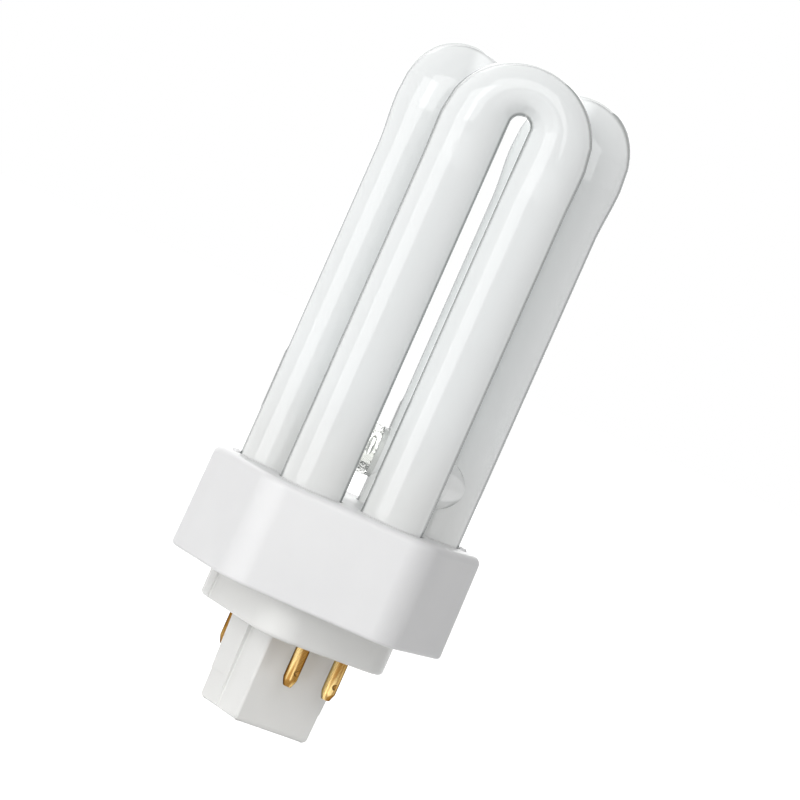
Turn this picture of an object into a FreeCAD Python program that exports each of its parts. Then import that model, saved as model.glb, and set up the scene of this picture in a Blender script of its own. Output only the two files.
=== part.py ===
import FreeCAD, Part
import math
import operator
import os
from types import SimpleNamespace

import Sketcher
from FreeCAD import Placement, Rotation, Vector

# A plug-in compact fluorescent lamp with three bent U tubes and four contact pins.
#
# The frame: the origin is on the lamp's axis in the seating plane, which is the underside of
# the cap's flange. +Z points up to the crowns of the tubes, the key post points down. The
# pins stand two by two on the -Y and the +Y side of the post. One U tube faces +X, the other
# two face 120 degrees to either side of it.

# Every driving dimension, in millimetres and degrees: its name, its value, what it is.
DIMENSIONS = [
    ("TubeDiameter", 11.0, "outside diameter of the glass tube"),
    ("LegGap", 3.4, "gap between neighbouring tube legs"),
    ("EndRadius", 4.4, "rounding of the closed ends"),
    ("CrownHeight", 102.5, "height of the top of the bends"),
    ("CrownThickness", 8.7, "thickness of the flattened bend at its top"),
    ("BendBulge", 0.7, "how far each bend swells on its two flat sides"),
    ("BendSpread", 0.2, "how far each bend swells past the outer side of its legs"),
    ("NeckDrop", 9.4, "from the start of the bend down to plain round tube"),
    ("NeckLength", 3.8, "stretch of plain tube that is drawn with the bend"),
    ("BridgeDiameter", 8.9, "diameter of the fused glass bridges"),
    ("BridgeHeight", 33.2, "height of the middle of the bridges"),
    ("PinchWidth", 8.4, "width of the pressed seal of an electrode leg"),
    ("PinchThickness", 3.0, "thickness of that seal"),
    ("PinchLength", 4.5, "how far the seal stands below its leg"),
    ("PinchEdge", 1.0, "rounding of the seal's corners"),
    ("SealRoom", 1.7, "room for the wires between the cover plate and the seals"),
    ("LeadSpacing", 3.0, "between the two wires in one seal"),
    ("ExhaustDiameter", 4.2, "diameter of the tipped-off exhaust stubs"),
    ("ExhaustLength", 3.6, "how far an exhaust stub stands below its leg"),
    ("ExhaustEdge", 1.6, "rounding of an exhaust stub's end"),
    ("CollarHeight", 18.2, "height of the collar"),
    ("SideMargin", 3.13, "from the legs out to the collar's sides that face the U tubes"),
    ("FacetMargin", 4.93, "from the legs out to the collar's sides between them"),
    ("CollarCorner", 6.2, "rounding of the collar's upright corners"),
    ("CollarDraft", 0.8, "draft angle of the collar's sides"),
    ("CollarTopEdge", 1.4, "rounding of the collar's upper edge"),
    ("CollarFootEdge", 0.6, "rounding of the collar's lower edge"),
    ("CollarWall", 2.0, "thickness of the collar's wall"),
    ("CollarRim", 1.4, "thickness of that wall round the cover plate"),
    ("CollarPlate", 1.8, "thickness of the collar's top plate"),
    ("SocketClearance", 0.25, "gap between a leg and its hole in the top plate"),
    ("CementDepth", 5.0, "depth of the cement under the top plate"),
    ("CoverThickness", 1.6, "thickness of the cap's cover plate"),
    ("CoverClearance", 0.1, "gap between the cover plate and the collar's rim"),
    ("FlangeHeight", 6.2, "height of the flange"),
    ("FlangeWidth", 26.7, "size of the flange along X"),
    ("FlangeLength", 28.5, "size of the flange along Y"),
    ("FlangeCorner", 6.0, "rounding of the flange's upright corners"),
    ("FlangeEdge", 0.7, "rounding of the flange's lower edge"),
    ("FlangeFloor", 1.8, "thickness of the flange's floor"),
    ("BeadHeight", 0.45, "height of the bead under the collar"),
    ("BeadProud", 0.25, "how far the bead stands out from the flange"),
    ("CapWall", 1.6, "wall thickness of the flange and the key post"),
    ("NotchStart", 4.0, "from the middle of the flange's side to its notch"),
    ("NotchWidth", 3.4, "width of that notch"),
    ("NotchDepth", 0.4, "depth of that notch"),
    ("PostLength", 15.8, "length of the key post below the flange"),
    ("PostWidth", 15.0, "size of the post's end along X"),
    ("PostDepth", 13.2, "size of the post's end along Y"),
    ("PostDraft", 1.5, "draft angle of the post"),
    ("PostCorner", 0.9, "rounding of the post's upright edges at its root"),
    ("PostEdge", 1.0, "rounding of the post's end"),
    ("PostFloor", 1.8, "thickness of the post's end wall"),
    ("KeywayWidth", 2.2, "width of the keyway in the post's side"),
    ("KeywayOffset", 0.5, "from the middle of that side to the keyway's axis"),
    ("KeywayDepth", 0.4, "depth of the keyway at the post's end"),
    ("RampHeight", 5.4, "height of the latch ramp above the post's end"),
    ("RampTop", 2.0, "from the middle of that side to the ramp's upper corner"),
    ("RampLow", 0.9, "from the middle of that side to the ramp's lower corner"),
    ("RampLowHeight", 1.2, "height of that lower corner above the post's end"),
    ("RampDepth", 0.2, "depth of the latch ramp at the post's end"),
    ("PinSpacingX", 8.0, "between the two pins on one side of the post"),
    ("PinSpacingY", 23.0, "between the two pairs of pins"),
    ("PinDiameter", 2.4, "diameter of a contact pin"),
    ("PinLength", 6.9, "length of a pin below the flange"),
    ("PinTaper", 1.5, "length of a pin's tapered tip"),
    ("PinTipDiameter", 1.3, "diameter of a pin's blunt end"),
    ("PinStep", 0.2, "how much a pin is thicker all round where it sits in the cap"),
    ("PinBore", 1.2, "bore of a pin, for its wire"),
    ("PinBoreDepth", 3.4, "depth of that bore from the pin's upper end"),
    ("PinShoulder", 3.6, "diameter of a pin's shoulder on its boss"),
    ("ShoulderClearance", 0.2, "gap round that shoulder"),
    ("PinShoulderHeight", 0.7, "thickness of that shoulder"),
    ("PinNeck", 0.5, "how far a pin stands above its shoulder"),
    ("CrimpHeight", 2.6, "height of the crimp dimples above a pin's end"),
    ("CrimpDiameter", 1.1, "diameter of a crimp dimple"),
    ("CrimpDepth", 0.3, "depth of a crimp dimple"),
    ("BossDiameter", 4.8, "diameter of a pin's boss in the flange"),
    ("BossHeight", 1.4, "height of a pin's boss above the floor"),
    ("WireDiameter", 0.7, "diameter of a lead wire"),
    ("WireBend", 0.6, "bend radius of a lead wire"),
    ("WireSpare", 0.4, "from the wire's end to the bottom of the bore"),
]

HEX_ANGLE = 60.0
COS_30 = math.cos(math.radians(30.0))
TURN_STEP = 20
NECK_STEPS = 4
PLAIN_STEPS = 2
TINY = 1e-4

OPERATIONS = {"+": operator.add, "-": operator.sub, "*": operator.mul, "/": operator.truediv}


class Size:
    """A number together with the formula that ties it to the sheet."""

    def __init__(self, value, formula):
        self.value = value
        self.formula = formula

    def __add__(self, other):
        return joined(self, "+", other)

    def __sub__(self, other):
        return joined(self, "-", other)

    def __mul__(self, other):
        return joined(self, "*", other)

    def __truediv__(self, other):
        return joined(self, "/", other)

    def __neg__(self):
        return joined(0.0, "-", self)


def as_size(number):
    return number if isinstance(number, Size) else Size(float(number), repr(float(number)))


def joined(left, sign, right):
    left, right = as_size(left), as_size(right)
    value = OPERATIONS[sign](left.value, right.value)
    return Size(value, "(%s %s %s)" % (left.formula, sign, right.formula))


def root(size):
    return Size(math.sqrt(size.value), "sqrt(%s)" % size.formula)


def slope(angle):
    return Size(math.tan(math.radians(angle.value)), "tan(%s * 1 deg)" % angle.formula)


doc = FreeCAD.newDocument("TripleTubeLamp")
sheet = doc.addObject("Spreadsheet::Sheet", "Sizes")
dim = SimpleNamespace()
for row, (alias, number, meaning) in enumerate(DIMENSIONS, start=1):
    sheet.set("A%d" % row, alias)
    sheet.set("B%d" % row, repr(number))
    sheet.set("C%d" % row, meaning)
    sheet.setAlias("B%d" % row, alias)
    setattr(dim, alias, Size(number, "Sizes." + alias))
doc.recompute()


# What several pieces share: the places of the legs and the pins, and the levels they meet at.
leg_pitch = dim.TubeDiameter + dim.LegGap
leg_x = leg_pitch * COS_30
leg_y = leg_pitch / 2
slot_radius = dim.LegGap / 2
arch_radius = leg_y + dim.TubeDiameter / 2 + dim.BendSpread
arch_height = dim.CrownHeight - arch_radius
slot_height = dim.CrownHeight - dim.CrownThickness - slot_radius
neck_height = arch_height - dim.NeckDrop
collar_top = dim.FlangeHeight + dim.CollarHeight
collar_side = leg_x + dim.TubeDiameter / 2 + dim.SideMargin
collar_facet = leg_x + dim.TubeDiameter / 2 + dim.FacetMargin
plate_underside = collar_top - dim.CollarPlate
cover_top = dim.FlangeHeight + dim.CoverThickness
wire_height = cover_top + dim.SealRoom / 2
pinch_end = cover_top + dim.SealRoom
leg_end = pinch_end + dim.PinchLength
boss_top = dim.FlangeFloor + dim.BossHeight
pin_top = boss_top + dim.PinShoulderHeight + dim.PinNeck
bore_end = pin_top - dim.PinBoreDepth
pin_seat = dim.PinDiameter + dim.PinStep * 2
post_root_x = dim.PostWidth / 2 + dim.PostLength * slope(dim.PostDraft)
post_root_y = dim.PostDepth / 2 + dim.PostLength * slope(dim.PostDraft)
PIN_SIDES = [(-1, -1), (1, -1), (-1, 1), (1, 1)]


def bind(thing, setting, size):
    """Ties one property of an object to the sheet."""
    thing.setExpression(setting, as_size(size).formula)


def new_body(name):
    body = doc.addObject("PartDesign::Body", name)
    body.Label = name
    return body


def origin_feature(body, role):
    return next(item for item in body.Origin.OriginFeatures if item.Role == role)


def new_sketch(body, name, plane="XY_Plane", offset=(0, 0, 0), turn=((0, 0, 1), 0)):
    """A sketch on one of the body's own planes, moved and turned from it as the sizes say."""
    sketch = body.newObject("Sketcher::SketchObject", name)
    sketch.AttachmentSupport = [(origin_feature(body, plane), "")]
    sketch.MapMode = "FlatFace"
    axis, angle = turn
    sketch.AttachmentOffset = Placement(Vector(0, 0, 0), Rotation(Vector(*axis), angle))
    for letter, size in zip("xyz", offset):
        bind(sketch, ".AttachmentOffset.Base." + letter, size)
    return sketch


def dimension(sketch, kind, *place, size):
    """Adds one dimension to a sketch and ties it to the sheet."""
    index = sketch.addConstraint(Sketcher.Constraint(kind, *place, size.value))
    bind(sketch, "Constraints[%d]" % index, size)


def pin_point(sketch, geometry, end, x, y):
    """Dimensions a point of a sketch from the sketch's origin."""
    for kind, axis, size in (("DistanceX", -2, as_size(x)), ("DistanceY", -1, as_size(y))):
        if size.value > TINY:
            dimension(sketch, kind, -1, 1, geometry, end, size=size)
        elif size.value < -TINY:
            dimension(sketch, kind, geometry, end, -1, 1, size=-size)
        else:
            sketch.addConstraint(Sketcher.Constraint("PointOnObject", geometry, end, axis))


def add_circle(sketch, x, y, diameter):
    x, y = as_size(x), as_size(y)
    shape = Part.Circle(Vector(x.value, y.value, 0), Vector(0, 0, 1), diameter.value / 2)
    index = sketch.addGeometry(shape)
    pin_point(sketch, index, 3, x, y)
    dimension(sketch, "Diameter", index, size=diameter)


def add_ellipse(sketch, long_radius, short_radius):
    """An ellipse round the sketch's origin, its long axis along the sketch's X."""
    long_start = max(long_radius.value, short_radius.value + TINY)
    index = sketch.addGeometry(Part.Ellipse(Vector(0, 0, 0), long_start, short_radius.value))
    sketch.exposeInternalGeometry(index)
    long_axis, short_axis = index + 1, index + 2
    sketch.addConstraint(Sketcher.Constraint("Coincident", index, 3, -1, 1))
    sketch.addConstraint(Sketcher.Constraint("Horizontal", long_axis))
    dimension(sketch, "Distance", long_axis, size=long_radius * 2)
    dimension(sketch, "Distance", short_axis, size=short_radius * 2)


def add_polygon(sketch, points):
    """A closed outline through the given points, each dimensioned from the origin."""
    spots = [Vector(as_size(x).value, as_size(y).value, 0) for x, y in points]
    lines = [
        sketch.addGeometry(Part.LineSegment(here, there))
        for here, there in zip(spots, spots[1:] + spots[:1])
    ]
    for before, after, (x, y) in zip(lines[-1:] + lines[:-1], lines, points):
        sketch.addConstraint(Sketcher.Constraint("Coincident", before, 2, after, 1))
        pin_point(sketch, after, 1, x, y)


def corner_centre(sides, index, radius):
    """Where the corner between a side and the one before it has the centre of its rounding."""
    (first, reach), (second, next_reach) = sides[index - 1], sides[index]
    a, b = math.radians(first), math.radians(second)
    p, q = reach.value - radius, next_reach.value - radius
    scale = math.sin(b - a)
    return Vector((p * math.sin(b) - q * math.sin(a)) / scale,
                  (q * math.cos(a) - p * math.cos(b)) / scale, 0)


def add_rounded_outline(sketch, sides, corner):
    """A closed outline of straight sides and round corners.

    Each side is the angle that it faces and its distance from the sketch's origin.
    """
    radius = corner.value
    centres = [corner_centre(sides, index, radius) for index in range(len(sides))]
    lines, arcs = [], []
    for index, (facing, _) in enumerate(sides):
        out = Vector(math.cos(math.radians(facing)), math.sin(math.radians(facing)), 0) * radius
        here, there = centres[index], centres[(index + 1) % len(sides)]
        lines.append(sketch.addGeometry(Part.LineSegment(here + out, there + out)))
        start = math.radians(sides[index - 1][0] - (360 if index == 0 else 0))
        circle = Part.Circle(here, Vector(0, 0, 1), radius)
        arcs.append(sketch.addGeometry(Part.ArcOfCircle(circle, start, math.radians(facing))))
    for index, (facing, reach) in enumerate(sides):
        following = arcs[(index + 1) % len(arcs)]
        sketch.addConstraint(Sketcher.Constraint("Tangent", arcs[index], 2, lines[index], 1))
        sketch.addConstraint(Sketcher.Constraint("Tangent", lines[index], 2, following, 1))
        heading = (facing + 90 + 180) % 360 - 180
        sketch.addConstraint(Sketcher.Constraint("Angle", lines[index], math.radians(heading)))
        dimension(sketch, "Distance", -1, 1, lines[index], size=reach)
    dimension(sketch, "Radius", arcs[0], size=corner)
    for arc in arcs[1:]:
        sketch.addConstraint(Sketcher.Constraint("Equal", arcs[0], arc))


def collar_sides(inset):
    """The collar's six-sided plan, drawn in by the given amount on every side."""
    reaches = (collar_side - inset, collar_facet - inset)
    return [(side * HEX_ANGLE, reaches[side % 2]) for side in range(6)]


def rectangle_sides(half_x, half_y):
    return [(0, half_x), (90, half_y), (180, half_x), (270, half_y)]


def add_feature(body, kind, name, sketch, length, reverse=False, draft=None):
    """A pad or a pocket of a sketch. A positive draft narrows it along its way."""
    feature = body.newObject("PartDesign::" + kind, name)
    feature.Profile = sketch
    feature.Reversed = reverse
    bind(feature, "Length", length)
    if draft is not None:
        bind(feature, "TaperAngle", -draft)
    sketch.Visibility = False
    doc.recompute()
    return feature


def pad(body, name, sketch, length, **more):
    return add_feature(body, "Pad", name, sketch, length, **more)


def pocket(body, name, sketch, length, **more):
    before = body.Shape.Volume
    feature = add_feature(body, "Pocket", name, sketch, length, **more)
    if not feature.Shape.Volume < before - TINY:
        raise RuntimeError("the pocket %s cuts nothing" % name)
    return feature


def polar_pattern(body, name, originals, count, angle=360.0):
    pattern = body.newObject("PartDesign::PolarPattern", name)
    pattern.Originals = originals
    pattern.Axis = (origin_feature(body, "Z_Axis"), [""])
    pattern.Angle = angle
    pattern.Occurrences = count
    body.Tip = pattern
    doc.recompute()
    return pattern


def fillet(body, name, radius, wanted):
    """Rounds the edges of the body's last feature that the test picks."""
    base = body.Tip
    picked = ["Edge%d" % (index + 1) for index, edge in enumerate(base.Shape.Edges) if wanted(edge)]
    feature = body.newObject("PartDesign::Fillet", name)
    feature.Base = (base, picked)
    bind(feature, "Radius", radius)
    doc.recompute()
    return feature


def at_level(height):
    """Picks the edges that lie flat at the given height."""
    level = height.value
    return lambda edge: max(abs(edge.BoundBox.ZMin - level), abs(edge.BoundBox.ZMax - level)) < TINY


def bend_section(body, name, place, turn, long_radius, short_radius):
    """One cross-section of the bent tube, an ellipse whose short axis lies in the U's plane."""
    y, z = place
    sketch = new_sketch(body, name, offset=(leg_x, y, z), turn=((1, 0, 0), turn))
    add_ellipse(sketch, long_radius, short_radius)
    sketch.Visibility = False
    return sketch


def neck_sections(body, name, side, turn):
    """The sections up one leg, from plain round tube, easing out into the start of the bend."""
    tube = dim.TubeDiameter / 2
    spring_y = (arch_radius + slot_radius) / 2
    spring_short = (arch_radius - slot_radius) / 2
    sections = []
    for step in range(-PLAIN_STEPS, NECK_STEPS + 1):
        share = max(step, 0) / NECK_STEPS
        eased = share * share * (3 - 2 * share)
        y = leg_y + (spring_y - leg_y) * eased
        z = neck_height + dim.NeckLength * (min(step, 0) / PLAIN_STEPS) + dim.NeckDrop * share
        place = (y * side, z)
        long_radius = tube + dim.BendBulge * eased
        short_radius = tube + (spring_short - tube) * eased
        sections.append(bend_section(body, "%s%d" % (name, step + PLAIN_STEPS), place, turn,
                                     long_radius, short_radius))
    return sections


def bend_sections(body):
    """The sections from one leg over the crown to the other.

    The bend lies between an outer arch and the smaller, higher arch of the slot, so it is
    thinnest at its top. Below it the tube goes back to a plain round one.
    """
    swollen = dim.TubeDiameter / 2 + dim.BendBulge
    lift = slot_height - arch_height
    sections = neck_sections(body, "NeckA", 1, 0)
    for turn in range(TURN_STEP, 180, TURN_STEP):
        across, up = math.cos(math.radians(turn)), math.sin(math.radians(turn))
        reach = root(arch_radius * arch_radius - lift * lift * (across * across)) - lift * up
        middle = (reach + slot_radius) / 2
        place = (middle * across, slot_height + middle * up)
        short = (reach - slot_radius) / 2
        sections.append(bend_section(body, "Bend%d" % turn, place, turn, swollen, short))
    return sections + neck_sections(body, "NeckB", -1, 180)[::-1]


def build_discharge_tube():
    """Three U tubes fused by two bridges: one sealed vessel of blown glass."""
    body = new_body("discharge_tube")

    sketch = new_sketch(body, "LegCircles", offset=(0, 0, leg_end))
    add_circle(sketch, leg_x, leg_y, dim.TubeDiameter)
    add_circle(sketch, leg_x, -leg_y, dim.TubeDiameter)
    legs = pad(body, "Legs", sketch, neck_height - dim.NeckLength - leg_end)

    sections = bend_sections(body)
    bend = body.newObject("PartDesign::AdditiveLoft", "Bend")
    bend.Profile = sections[0]
    bend.Sections = sections[1:]
    doc.recompute()
    polar_pattern(body, "ThreeTubes", [legs, bend], 3)
    fillet(body, "ClosedEnds", dim.EndRadius, at_level(leg_end))

    # The bridges stand between the U tube that faces +X and its two neighbours.
    sketch = new_sketch(body, "BridgeCircle", "XZ_Plane", turn=((0, 1, 0), -HEX_ANGLE))
    add_circle(sketch, leg_x, dim.BridgeHeight, dim.BridgeDiameter)
    bridge = pad(body, "Bridge", sketch, leg_pitch)
    bridge.Midplane = True
    polar_pattern(body, "TwoBridges", [bridge], 2, 2 * HEX_ANGLE)

    # The two legs without a bridge hold the electrodes and end in a pressed seal.
    sketch = new_sketch(body, "PinchOutlines", offset=(0, 0, leg_end + dim.EndRadius))
    for side in (-1, 1):
        near = leg_y * side - dim.PinchWidth / 2
        far = leg_y * side + dim.PinchWidth / 2
        left = -leg_x - dim.PinchThickness / 2
        right = -leg_x + dim.PinchThickness / 2
        add_polygon(sketch, [(left, near), (right, near), (right, far), (left, far)])
    pad(body, "PinchSeals", sketch, dim.EndRadius + dim.PinchLength, reverse=True)
    fillet(body, "PinchEdges", dim.PinchEdge, at_level(pinch_end))

    # The tube was pumped out through stubs on the U that faces +X, which are melted shut.
    sketch = new_sketch(body, "ExhaustCircles", offset=(0, 0, leg_end + dim.EndRadius))
    add_circle(sketch, leg_x, leg_y, dim.ExhaustDiameter)
    add_circle(sketch, leg_x, -leg_y, dim.ExhaustDiameter)
    pad(body, "ExhaustStubs", sketch, dim.EndRadius + dim.ExhaustLength, reverse=True)
    fillet(body, "ExhaustEnds", dim.ExhaustEdge, at_level(leg_end - dim.ExhaustLength))
    return body


def build_collar():
    """The moulded shell: a drafted six-sided box, open below, with six sockets in its top."""
    body = new_body("collar")

    sketch = new_sketch(body, "CollarOutline", offset=(0, 0, dim.FlangeHeight))
    add_rounded_outline(sketch, collar_sides(as_size(0)), dim.CollarCorner)
    pad(body, "Shell", sketch, dim.CollarHeight, draft=dim.CollarDraft)
    fillet(body, "TopEdge", dim.CollarTopEdge, at_level(collar_top))
    fillet(body, "FootEdge", dim.CollarFootEdge, at_level(dim.FlangeHeight))

    sketch = new_sketch(body, "CavityOutline", offset=(0, 0, dim.FlangeHeight))
    add_rounded_outline(sketch, collar_sides(dim.CollarWall), dim.CollarCorner - dim.CollarWall)
    pocket(body, "Cavity", sketch, dim.CollarHeight - dim.CollarPlate, reverse=True,
           draft=dim.CollarDraft)

    sketch = new_sketch(body, "CoverSeatOutline", offset=(0, 0, dim.FlangeHeight))
    add_rounded_outline(sketch, collar_sides(dim.CollarRim), dim.CollarCorner - dim.CollarRim)
    pocket(body, "CoverSeat", sketch, dim.CoverThickness, reverse=True)

    sketch = new_sketch(body, "SocketCircle", offset=(0, 0, collar_top))
    add_circle(sketch, leg_x, leg_y, dim.TubeDiameter + dim.SocketClearance * 2)
    socket = pocket(body, "Socket", sketch, dim.CollarPlate)
    polar_pattern(body, "SixSockets", [socket], 6)
    return body


def build_basing_cement():
    """The cement under the top plate, cast round the six legs against the shell's wall."""
    body = new_body("basing_cement")
    underside = plate_underside - dim.CementDepth
    drawn_in = dim.CollarWall + (underside - dim.FlangeHeight) * slope(dim.CollarDraft)

    sketch = new_sketch(body, "CementOutline", offset=(0, 0, underside))
    add_rounded_outline(sketch, collar_sides(drawn_in), dim.CollarCorner - drawn_in)
    pad(body, "Slab", sketch, dim.CementDepth, draft=dim.CollarDraft)

    sketch = new_sketch(body, "LegCircle", offset=(0, 0, plate_underside))
    add_circle(sketch, leg_x, leg_y, dim.TubeDiameter)
    hole = pocket(body, "LegHole", sketch, dim.CementDepth)
    polar_pattern(body, "SixLegHoles", [hole], 6)
    return body


def add_post(body):
    """The drafted key post, with its rounded edges."""
    sketch = new_sketch(body, "PostOutline")
    add_rounded_outline(sketch, rectangle_sides(post_root_x, post_root_y), dim.PostCorner)
    pad(body, "Post", sketch, dim.PostLength, reverse=True, draft=dim.PostDraft)
    fillet(body, "PostEnd", dim.PostEdge, at_level(-dim.PostLength))


def add_post_cuts(body):
    """A keyway and a latch ramp on one side of the post, and the same turned half round."""
    deepest = post_root_x - dim.PostWidth / 2
    post_end = -dim.PostLength

    sketch = new_sketch(body, "KeywayOutline", "YZ_Plane", offset=(0, 0, -post_root_x))
    low = -dim.KeywayOffset - dim.KeywayWidth / 2
    high = -dim.KeywayOffset + dim.KeywayWidth / 2
    add_polygon(sketch, [(low, post_end), (high, post_end), (high, 0), (low, 0)])
    keyway = pocket(body, "Keyway", sketch, deepest + dim.KeywayDepth, reverse=True)

    sketch = new_sketch(body, "RampOutline", "YZ_Plane", offset=(0, 0, -post_root_x))
    add_polygon(sketch, [
        (-dim.RampLow, post_end),
        (post_root_y, post_end),
        (post_root_y, post_end + dim.RampHeight),
        (dim.RampTop, post_end + dim.RampHeight),
        (-dim.RampLow, post_end + dim.RampLowHeight),
    ])
    ramp = pocket(body, "LatchRamp", sketch, deepest + dim.RampDepth, reverse=True)
    polar_pattern(body, "BothSidesOfPost", [keyway, ramp], 2)


def build_base_cap():
    """The lower moulding: flange, cover plate and key post, hollow, open to the collar."""
    body = new_body("base_cap")
    half_x, half_y = dim.FlangeWidth / 2, dim.FlangeLength / 2

    sketch = new_sketch(body, "FlangeOutline")
    add_rounded_outline(sketch, rectangle_sides(half_x, half_y), dim.FlangeCorner)
    pad(body, "Flange", sketch, dim.FlangeHeight)

    sketch = new_sketch(body, "NotchOutline")
    add_polygon(sketch, [
        (-half_x, dim.NotchStart),
        (-half_x + dim.NotchDepth, dim.NotchStart),
        (-half_x + dim.NotchDepth, dim.NotchStart + dim.NotchWidth),
        (-half_x, dim.NotchStart + dim.NotchWidth),
    ])
    notch = pocket(body, "Notch", sketch, dim.FlangeHeight, reverse=True)
    polar_pattern(body, "BothNotches", [notch], 2)
    fillet(body, "FlangeFoot", dim.FlangeEdge, at_level(as_size(0)))
    add_post(body)
    add_post_cuts(body)

    sketch = new_sketch(body, "BeadOutline", offset=(0, 0, dim.FlangeHeight - dim.BeadHeight))
    add_rounded_outline(sketch, rectangle_sides(half_x + dim.BeadProud, half_y + dim.BeadProud),
                        dim.FlangeCorner + dim.BeadProud)
    pad(body, "Bead", sketch, dim.BeadHeight)

    inset = dim.CollarRim + dim.CoverClearance
    sketch = new_sketch(body, "CoverOutline", offset=(0, 0, dim.FlangeHeight))
    add_rounded_outline(sketch, collar_sides(inset), dim.CollarCorner - inset)
    pad(body, "Cover", sketch, dim.CoverThickness)

    sketch = new_sketch(body, "FlangeCavityOutline", offset=(0, 0, cover_top))
    add_rounded_outline(sketch, rectangle_sides(half_x - dim.CapWall, half_y - dim.CapWall),
                        dim.FlangeCorner - dim.CapWall)
    pocket(body, "FlangeCavity", sketch, cover_top - dim.FlangeFloor)

    sketch = new_sketch(body, "BossCircles", offset=(0, 0, dim.FlangeFloor))
    for x_side, y_side in PIN_SIDES:
        add_circle(sketch, dim.PinSpacingX * (x_side / 2), dim.PinSpacingY * (y_side / 2),
                   dim.BossDiameter)
    pad(body, "Bosses", sketch, dim.BossHeight)

    sketch = new_sketch(body, "PostCavityOutline", offset=(0, 0, dim.FlangeFloor))
    add_rounded_outline(sketch, rectangle_sides(post_root_x - dim.CapWall, post_root_y - dim.CapWall),
                        dim.PostCorner)
    pocket(body, "PostCavity", sketch, dim.FlangeFloor + dim.PostLength - dim.PostFloor,
           draft=dim.PostDraft)

    sketch = new_sketch(body, "ShoulderSeatCircles", offset=(0, 0, cover_top))
    for x_side, y_side in PIN_SIDES:
        add_circle(sketch, dim.PinSpacingX * (x_side / 2), dim.PinSpacingY * (y_side / 2),
                   dim.PinShoulder + dim.ShoulderClearance * 2)
    pocket(body, "ShoulderSeats", sketch, cover_top - boss_top)

    sketch = new_sketch(body, "PinHoleCircles", offset=(0, 0, boss_top))
    for x_side, y_side in PIN_SIDES:
        add_circle(sketch, dim.PinSpacingX * (x_side / 2), dim.PinSpacingY * (y_side / 2), pin_seat)
    pocket(body, "PinHoles", sketch, boss_top)
    return body


def build_contact_pin(number, x_side, y_side):
    """A turned pin with a tapered tip, a thicker seat, a shoulder, a bore and two crimp dimples."""
    body = new_body("contact_pin_%d" % number)
    bind(body, ".Placement.Base.x", dim.PinSpacingX * (x_side / 2))
    bind(body, ".Placement.Base.y", dim.PinSpacingY * (y_side / 2))
    radius, bore = dim.PinDiameter / 2, dim.PinBore / 2
    shoulder, shoulder_top = dim.PinShoulder / 2, boss_top + dim.PinShoulderHeight

    sketch = new_sketch(body, "PinProfile%d" % number, "XZ_Plane")
    add_polygon(sketch, [
        (0, -dim.PinLength),
        (dim.PinTipDiameter / 2, -dim.PinLength),
        (radius, dim.PinTaper - dim.PinLength),
        (radius, 0),
        (pin_seat / 2, 0),
        (pin_seat / 2, boss_top),
        (shoulder, boss_top),
        (shoulder, shoulder_top),
        (radius, shoulder_top),
        (radius, pin_top),
        (bore, pin_top),
        (bore, bore_end),
        (0, bore_end),
    ])
    turned = body.newObject("PartDesign::Revolution", "Turned%d" % number)
    turned.Profile = sketch
    turned.ReferenceAxis = (sketch, ["V_Axis"])
    turned.Angle = 360.0
    doc.recompute()

    # The wire is crimped from the side that faces away from the post, and from behind.
    sketch = new_sketch(body, "CrimpCircle%d" % number, "XZ_Plane", offset=(0, 0, radius))
    add_circle(sketch, 0, dim.CrimpHeight - dim.PinLength, dim.CrimpDiameter)
    dimple = pocket(body, "Crimp%d" % number, sketch, dim.CrimpDepth)
    polar_pattern(body, "BothCrimps%d" % number, [dimple], 2)
    return body


def bent_path(points, radius):
    """Straight runs through the points with a tangent arc at each corner."""
    edges = []
    start = points[0]
    for before, corner, after in zip(points, points[1:], points[2:]):
        back = (before - corner).normalize()
        ahead = (after - corner).normalize()
        half = back.getAngle(ahead) / 2
        setback = radius / math.tan(half)
        to_middle = (back + ahead).normalize()
        middle = corner + to_middle * (radius / math.sin(half) - radius)
        enter, leave = corner + back * setback, corner + ahead * setback
        edges.append(Part.LineSegment(start, enter).toShape())
        edges.append(Part.Arc(enter, middle, leave).toShape())
        start = leave
    edges.append(Part.LineSegment(start, points[-1]).toShape())
    return Part.Wire(edges)


def build_lead_wire(number, x_side, y_side):
    """A wire from an electrode leg's seal, over the cover plate, down into the bore of a pin."""
    lead = leg_y + dim.LeadSpacing * (-x_side / 2)
    lead_x, lead_y = -leg_x.value, y_side * lead.value
    pin_x = x_side * dim.PinSpacingX.value / 2
    pin_y = y_side * dim.PinSpacingY.value / 2
    path = bent_path([
        Vector(lead_x, lead_y, pinch_end.value),
        Vector(lead_x, lead_y, wire_height.value),
        Vector(pin_x, pin_y, wire_height.value),
        Vector(pin_x, pin_y, (bore_end + dim.WireSpare).value),
    ], dim.WireBend.value)
    section = Part.Circle(path.Vertexes[0].Point, Vector(0, 0, 1), dim.WireDiameter.value / 2)
    wire = doc.addObject("Part::Feature", "lead_wire_%d" % number)
    wire.Label = wire.Name
    wire.Shape = path.makePipeShell([Part.Wire([section.toShape()])], True, False)
    return wire


pieces = [build_discharge_tube(), build_collar(), build_basing_cement(), build_base_cap()]
for number, (x_side, y_side) in enumerate(PIN_SIDES, start=1):
    pieces.append(build_contact_pin(number, x_side, y_side))
    pieces.append(build_lead_wire(number, x_side, y_side))
doc.recompute()

for thing in doc.Objects:
    if "Invalid" in thing.State or "Error" in thing.State:
        raise RuntimeError("%s failed: %s" % (thing.Name, thing.State))
for piece in pieces:
    if piece.Shape.isNull() or not piece.Shape.isValid() or len(piece.Shape.Solids) != 1:
        raise RuntimeError("%s is not one sound solid" % piece.Label)

os.makedirs("parts", exist_ok=True)
for piece in pieces:
    piece.Shape.exportStep(os.path.join("parts", piece.Label + ".step"))
    print("%-16s %10.2f mm3" % (piece.Label, piece.Shape.Volume))
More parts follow.
